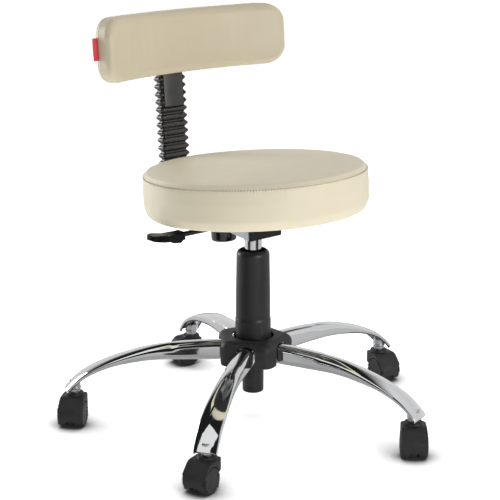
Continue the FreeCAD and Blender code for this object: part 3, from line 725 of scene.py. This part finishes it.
def spline_value(stations, column, s):
    """Smooth value between stations at s, counted in stations."""
    last = len(stations) - 1
    i = min(int(s), last - 1)
    t = s - i
    p1, p2 = stations[i][column], stations[i + 1][column]
    p0 = stations[i - 1][column] if i > 0 else 2 * p1 - p2
    p3 = stations[i + 2][column] if i + 2 <= last else 2 * p2 - p1
    return 0.5 * (2 * p1 + (p2 - p0) * t + (2 * p0 - 5 * p1 + 4 * p2 - p3) * t * t
                  + (3 * p1 - p0 - 3 * p2 + p3) * t ** 3)


def arm_section(width, depth, gap, wall, samples=40):
    """Outline of one section: outside from lip to lip over the crowned top, then back along the inside."""
    half_w, half_d = width / 2, depth / 2
    rim = min(10.0, half_d - 0.4)
    crown = min(3.4, half_d - 1.0)
    shoulder = min(rim * 0.92, half_w * 0.5)
    if half_d - crown < rim:
        shoulder = (2 * half_d - crown - rim) * 0.9
    corners = [(0.0, -half_d, 0), (half_w, -half_d, rim), (half_w, half_d - crown, shoulder)]
    flat = 1.0 - 1.04 * shoulder / half_w
    arc = [(half_w * x, half_d - crown * x * x, 0) for x in (flat * k / 6 for k in range(6, -1, -1))]
    right = resample(fillet_path(corners + arc, 10), 0.8)
    length = sum((b - a).length for a, b in zip(right, right[1:]))
    out = []
    for k in range(samples + 1):
        target = gap + (length - gap) * k / samples
        walked = 0.0
        for a, b in zip(right, right[1:]):
            step = (b - a).length
            if walked + step >= target - 1e-9:
                out.append(a.lerp(b, (target - walked) / step))
                break
            walked += step
        else:
            out.append(right[-1].copy())
    left = [Vector((-p.x, p.y)) for p in reversed(out[:-1])]
    outside = out + left
    inside = []
    for i, p in enumerate(outside):
        before = outside[max(0, i - 1)]
        after = outside[min(len(outside) - 1, i + 1)]
        along = (after - before).normalized()
        inside.append(p + Vector((-along.y, along.x)) * wall)
    return outside + list(reversed(inside))


def arms():
    """Drawn arms, closed at the hub, whose underside opens towards the tip."""
    rows = 76
    opens_at, opens_over = 259.0, 26.0
    wall = 1.5
    rings = []
    last = len(ARM_STATIONS) - 1
    for k in range(rows):
        s = last * k / (rows - 1)
        reach, height, tilt, width, depth = (spline_value(ARM_STATIONS, c, s) for c in range(5))
        opening = max(0.0, min(1.0, (reach - opens_at) / opens_over))
        opening = opening * opening * (3 - 2 * opening)
        gap = 0.05 + opening * (width / 2 - 3.0)
        angle = math.radians(tilt)
        normal = Vector((math.sin(angle), 0, math.cos(angle)))
        centre = Vector((reach, 0, height))
        rings.append([(centre + Vector((0, p.x, 0)) + normal * p.y) * MM
                      for p in arm_section(width, depth, gap, wall)])
    columns = len(rings[0])
    for i in range(ARM_COUNT):
        turn = about_z(i * 360 / ARM_COUNT)
        vertices = [turn @ p for ring in rings for p in ring]
        faces = grid_faces(rows, columns)
        faces.append(tuple(range(columns)))
        faces.append(tuple(reversed(range(len(vertices) - columns, len(vertices)))))
        piece = new_object("arm_%d_polished" % (i + 1), vertices, faces)
        finish_piece(piece, "base", "arm_chrome", "arm_%d" % (i + 1))


def sockets():
    """Plated sleeves in the arm tips, each with a rolled ring."""
    corners = ((5.7, 70.0, 0), (5.7, 52.6, 0.3), (9.3, 52.6, 1.0), (9.3, 57.6, 0.3), (10.6, 58.2, 0.6),
               (10.6, 60.4, 0.6), (9.3, 61.0, 0.3), (9.3, 70.5, 0.8), (5.7, 70.5, 0))
    profile = resample(fillet_path(corners, 4), 0.5)
    segments = 40
    vertices, faces = [], []
    for i in range(ARM_COUNT):
        place = about_z(i * 360 / ARM_COUNT) @ Matrix.Translation((STEM_CIRCLE * MM, 0, 0))
        start = len(vertices)
        for p in profile:
            for j in range(segments):
                turn = 2 * math.pi * j / segments
                vertices.append(place @ (Vector((p.x * math.cos(turn), p.x * math.sin(turn), p.y)) * MM))
        faces += [tuple(v + start for v in f) for f in grid_faces(len(profile), segments, closed_rows=True)]
    piece = new_object("arm_sockets_plated", vertices, faces)
    finish_piece(piece, "base", "zinc", "arm_sockets")


# ---- bellows and tongue -------------------------------------------------------------------------
FOLD_PITCH = 12.7
FOLD_COUNT = 13
BELLOWS_TOP = 135.0
# Half width and half depth of the sleeve at a root and at a fold's tip.
ROOT = (22.4, 6.9)
TIP = (27.0, 11.5)


def bellows():
    """Concertina sleeve with rounded fold tips and tight roots, pressed flat behind the tongue."""
    bottom = BELLOWS_TOP - FOLD_COUNT * FOLD_PITCH
    steps = 14
    columns = 120
    rows = FOLD_COUNT * steps + 1
    vertices = []
    for i in range(rows):
        fold = i / steps
        level = bottom + fold * FOLD_PITCH
        phase = fold - int(fold)
        wave = 0.5 - 0.5 * math.cos(2 * math.pi * phase)
        wave = wave ** 0.8
        sag = 0.6 * noise.noise(Vector((0.0, 0.0, fold * 0.7)))
        half_w = ROOT[0] + (TIP[0] - ROOT[0]) * wave + sag * 0.4
        half_d = ROOT[1] + (TIP[1] - ROOT[1]) * wave
        corner = 3.2 + 2.2 * wave
        outline = fillet_path(((half_w, -half_d, corner), (half_w, half_d, corner),
                               (-half_w, half_d, corner), (-half_w, -half_d, corner)), 8, closed=True)
        line = resample(outline, 1.0, closed=True)
        for k in range(columns):
            s = k * len(line) / columns
            a = line[int(s) % len(line)]
            b = line[(int(s) + 1) % len(line)]
            p = a.lerp(b, s - int(s))
            y = p.y
            if level > 82.0 and abs(p.x) < 21.0:
                y = max(y, -7.0)
            lean = noise.noise(Vector((p.x * 0.02, p.y * 0.05, level * 0.03))) * 0.35
            vertices.append(BACK @ (Vector((p.x + lean, y, level + lean)) * MM))
    faces = grid_faces(rows, columns)
    piece = new_object("bellows_folds", vertices, faces)
    thick = piece.modifiers.new("wall", "SOLIDIFY")
    thick.thickness = 1.3 * MM
    thick.offset = -1.0
    finish_piece(piece, "bar", "bellows_rubber", "bellows")


# ---- small parts --------------------------------------------------------------------------------
def casters():
    for i in range(ARM_COUNT):
        name = "caster_%d" % (i + 1)
        hood = moulded(name + "_hood", 0.7 * MM, 3, name)
        hood.data.materials.append(MATERIALS["hood_plastic"])
        for side in ("left", "right"):
            node = name + "_wheel_" + side
            wheel = moulded(node, 0.7 * MM, 2, node)
            wheel.data.materials.append(MATERIALS["wheel_nylon"])


def moulded_parts():
    for node, voxel, relax, body, slot in (
            ("hub_cover", 0.9, 6, "base", "hub_plastic"),
            ("lever_handle", 0.7, 5, "lever", "lever_plastic"),
            ("depth_knob", 0.7, 4, "depth_knob", "knob_plastic"),
            ("height_knob", 0.8, 4, "height_knob", "knob_plastic"),
            ("mechanism_cap", 0.7, 2, "seat", "cap_plastic"),
            ("backrest_tongue", 0.7, 3, "backrest", "carrier_plastic"),
            ("backrest_carrier", 0.9, 4, "backrest", "carrier_plastic")):
        piece = moulded(node, voxel * MM, relax, body)
        piece.data.materials.append(MATERIALS[slot])
        if node == "backrest_tongue":
            for vertex in piece.data.vertices:
                bow = 1.0 - (vertex.co.x / MM / 20.0) ** 2
                vertex.co.y -= 2.4 * MM * max(0.0, bow)


def carried_over():
    """Every CAD node that stays visible gets its slot's material."""
    for entry in frame["record"]["subparts"]:
        node = NODES[entry["node"]]
        node.data.materials.clear()
        node.data.materials.append(MATERIALS[entry["material_slot"]])


# ---- studio -------------------------------------------------------------------------------------
def grey(level):
    return (level, level, level, 1)


def pale_floor():
    """Pale, glowing floor with soft painted shadows where things touch it. Glossy surfaces see it dark, but
    for one bright strip.
    """
    floor_mesh = bpy.data.meshes.new("floor")
    floor_mesh.from_pydata([(-40, -40, 0), (40, -40, 0), (40, 40, 0), (-40, 40, 0)], [], [(0, 1, 2, 3)])
    floor = bpy.data.objects.new("floor", floor_mesh)
    bpy.context.scene.collection.objects.link(floor)
    n = Nodes("floor")
    pale = n.mix(n.remap(n.noise(0.7, 2.0), 0.3, 0.7), grey(0.90), grey(0.92))
    # the strip lies on the main camera's side of the stool, and the dark floor ends far out to both sides
    nearer, across = (n.add("ShaderNodeVectorMath") for _ in range(2))
    for node, axis in ((nearer, (-FORWARD[0], -FORWARD[1], 0)), (across, RIGHTWARD)):
        node.operation = "DOT_PRODUCT"
        n.feed(node.inputs[0], n.place)
        node.inputs[1].default_value = axis
    sideways = n.math("DIVIDE", n.math("ABSOLUTE", across.outputs["Value"], 0.0),
                      n.math("MAXIMUM", nearer.outputs["Value"], 0.05))
    strip = n.remap(sideways, 0.45, 0.95, 1.0, 0.0)
    outer = n.remap(sideways, 3.5, 6.0)
    unlit = n.remap(n.math("MAXIMUM", strip, outer), 0.0, 1.0, 1.0, 0.0)
    dark = n.math("MULTIPLY", n.remap(nearer.outputs["Value"], 0.18, 0.42), unlit)
    mirrored = n.mix(dark, grey(0.72), grey(0.03))
    ray = n.add("ShaderNodeLightPath").outputs["Is Glossy Ray"]
    # painted shadow: ambient occlusion darkens the floor's colour and dims its glow where things stand on
    # it or near it
    shadow_occlusion = n.add("ShaderNodeAmbientOcclusion")
    shadow_occlusion.inputs["Distance"].default_value = 0.055
    shadow_occlusion.samples = 8
    painted_contact_shadow = n.remap(shadow_occlusion.outputs["AO"], 0.42, 0.98, 0.02, 1.0)
    pale = n.mix(painted_contact_shadow, grey(0.06), pale)
    n.done(n.mix(ray, pale, mirrored), n.remap(n.noise(1.3), 0.3, 0.7, 0.6, 0.7), Specular_IOR_Level=0.0,
           Emission_Color=(1, 1, 1, 1))
    # the floor glows for all but glossy rays, and the painted shadow dims the glow
    glow = n.math("MULTIPLY", painted_contact_shadow, n.remap(ray, 0.0, 1.0, 0.62, 0.0))
    n.feed(n.shader.inputs["Emission Strength"], glow)
    floor.data.materials.append(n.material)


def surroundings():
    """World light: pale behind the stool and to the right, dark behind the main camera and overhead."""
    world = bpy.data.worlds.new("studio")
    bpy.context.scene.world = world
    world.use_nodes = True
    tree = world.node_tree
    background = tree.nodes["Background"]
    place = tree.nodes.new("ShaderNodeTexCoord").outputs["Generated"]
    split = tree.nodes.new("ShaderNodeSeparateXYZ")
    tree.links.new(place, split.inputs[0])

    def elevation_ramp(stops):
        """Level by the sine of the elevation."""
        ramp = tree.nodes.new("ShaderNodeValToRGB")
        tree.links.new(split.outputs["Z"], ramp.inputs["Fac"])
        bar = ramp.color_ramp
        for element, (position, level) in zip(bar.elements, (stops[0], stops[-1])):
            element.position = position
            element.color = grey(level)
        for position, level in stops[1:-1]:
            bar.elements.new(position).color = grey(level)
        return ramp.outputs["Color"]

    def toward(direction, low, high):
        """From 0 to 1 as the view turns towards a direction."""
        dot = tree.nodes.new("ShaderNodeVectorMath")
        dot.operation = "DOT_PRODUCT"
        tree.links.new(place, dot.inputs[0])
        dot.inputs[1].default_value = direction
        share = tree.nodes.new("ShaderNodeMapRange")
        tree.links.new(dot.outputs["Value"], share.inputs[0])
        share.inputs[1].default_value = low
        share.inputs[2].default_value = high
        return share.outputs["Result"]

    def blend(factor, a, b):
        node = tree.nodes.new("ShaderNodeMix")
        node.data_type = "RGBA"
        tree.links.new(factor, node.inputs["Factor"])
        tree.links.new(a, node.inputs["A"])
        if isinstance(b, tuple):
            node.inputs["B"].default_value = b
        else:
            tree.links.new(b, node.inputs["B"])
        return node.outputs["Result"]

    behind_camera = elevation_ramp(((0.0, 0.30), (0.06, 0.015), (1.0, 0.015)))
    behind_stool = elevation_ramp(((0.0, 0.85), (0.22, 0.78), (0.44, 0.74), (0.62, 0.015), (1.0, 0.015)))
    dim = elevation_ramp(((0.0, 0.30), (0.06, 0.02), (0.84, 0.02), (0.96, 0.80), (1.0, 0.85)))
    pale = elevation_ramp(((0.0, 0.85), (0.22, 0.78), (0.50, 0.72), (0.80, 0.80), (1.0, 0.85)))
    ahead = toward(FORWARD, -0.05, 0.25)
    mirrored = blend(ahead, behind_camera, behind_stool)
    mirrored = blend(toward(RIGHTWARD, 0.24, 0.42), mirrored, pale)
    # matt surfaces are lit by the softer pair of ramps, and the camera sees plain white
    seen = tree.nodes.new("ShaderNodeLightPath")
    lighting = blend(seen.outputs["Is Diffuse Ray"], mirrored, blend(ahead, dim, pale))
    final = blend(seen.outputs["Is Camera Ray"], lighting, grey(0.98))
    tree.links.new(final, background.inputs["Color"])
    background.inputs["Strength"].default_value = 1.0


def softbox(name, position, target, width, height, power):
    light = bpy.data.lights.new(name, "AREA")
    light.shape = "RECTANGLE"
    light.size = width
    light.size_y = height
    light.energy = power
    lamp = bpy.data.objects.new(name, light)
    lamp.location = position
    aim = Vector(target) - Vector(position)
    lamp.rotation_euler = aim.to_track_quat("-Z", "Y").to_euler()
    bpy.context.scene.collection.objects.link(lamp)
    return lamp


def lights():
    softbox("key", (0.0, -2.65, 0.95), (0, 0, 0.35), 1.1, 1.4, 32)
    softbox("rim", (-0.75, 2.2, 0.8), (0, 0, 0.45), 0.8, 1.4, 26)
    # a card that only the chrome mirrors, at the front arm's tip
    softbox("tip", (-1.12, -0.22, 2.05), (-0.24, -0.17, 0.06), 1.65, 1.9, 9).visible_diffuse = False
    # an overhead light that the chrome doesn't mirror
    softbox("top", (0.2, 0.2, 2.6), (0, 0, 0.3), 1.6, 1.6, 13).visible_glossy = False


def main_camera():
    camera_data = bpy.data.cameras.new("camera")
    camera_data.lens = 111.5
    camera_data.sensor_width = 36.0
    camera = bpy.data.objects.new("camera", camera_data)
    camera.location = (-1.5507, -1.8081, 0.948)
    camera.rotation_euler = (math.radians(74.4), 0, math.radians(-40.5))
    bpy.context.scene.collection.objects.link(camera)
    bpy.context.scene.camera = camera
    bpy.context.scene.view_settings.view_transform = "Standard"


carried_over()
seat_cushion()
back_pad()
tag()
arms()
sockets()
bellows()
casters()
moulded_parts()
pale_floor()
surroundings()
lights()
main_camera()
